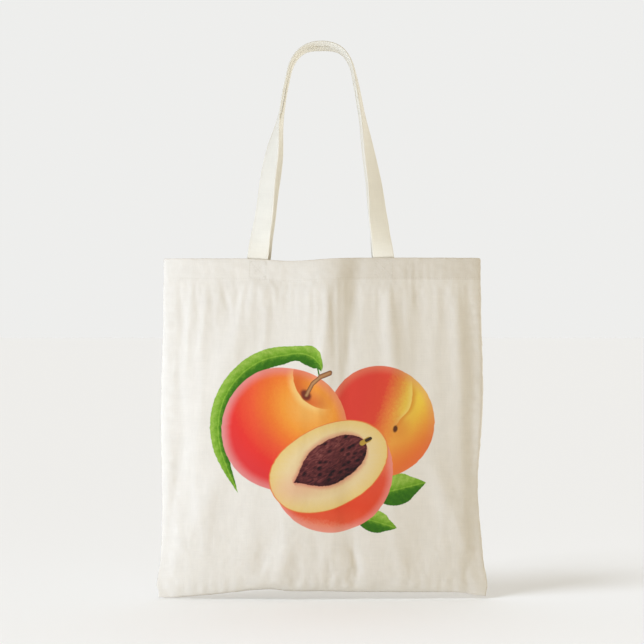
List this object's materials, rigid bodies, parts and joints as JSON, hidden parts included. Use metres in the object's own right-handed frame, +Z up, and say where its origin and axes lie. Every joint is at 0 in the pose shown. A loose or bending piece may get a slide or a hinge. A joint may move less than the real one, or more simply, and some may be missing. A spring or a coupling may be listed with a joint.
{
  "type": "cotton tote bag",
  "caption": "Flat cotton shopping bag hanging by two shoulder handles, with a folded hem round its open mouth and printed fruit on its front.",
  "frame": {"origin": "under the top of the two handles where they lie side by side, at the hook or hand that holds the bag up", "axes": "+Z up along the hanging bag, +X to the right seen from the front, +Y from the printed front to the plain back"},
  "size_m": [0.3996, 0.0624, 0.6647],
  "materials": {
    "canvas": "plain-weave unbleached cotton canvas, matt, printed on the front",
    "strap": "folded cotton canvas strap, matt",
    "thread": "cotton sewing thread, matt"
  },
  "bodies": {
    "bag": {"back_panel": "canvas", "back_hem_stitching": "thread", "back_left_handle_end": "strap", "back_right_handle_end": "strap", "back_left_box_stitching": "thread", "back_right_box_stitching": "thread", "left_side_seam": "canvas", "right_side_seam": "canvas", "bottom_seam": "canvas"},
    "front": {"front_panel": "canvas", "front_hem_stitching": "thread", "front_left_handle_end": "strap", "front_right_handle_end": "strap", "front_left_box_stitching": "thread", "front_right_box_stitching": "thread"},
    "front_handle_loop": {"front_handle": "strap", "front_handle_stitching": "thread"},
    "back_handle_loop": {"back_handle": "strap", "back_handle_stitching": "thread"}
  },
  "joints": [
    {"name": "mouth_opening", "type": "hinge", "parent": "bag", "child": "front", "pos_m": [0, 0, -0.655], "axis": [1, 0, 0], "range_deg": [0, 8]},
    {"name": "front_handle_fold", "type": "hinge", "parent": "front", "child": "front_handle_loop", "pos_m": [0, -0.0108, -0.248], "axis": [1, 0, 0], "range_deg": [0, 165]},
    {"name": "back_handle_fold", "type": "hinge", "parent": "bag", "child": "back_handle_loop", "pos_m": [0, 0.0108, -0.248], "axis": [-1, 0, 0], "range_deg": [0, 165]}
  ]
}
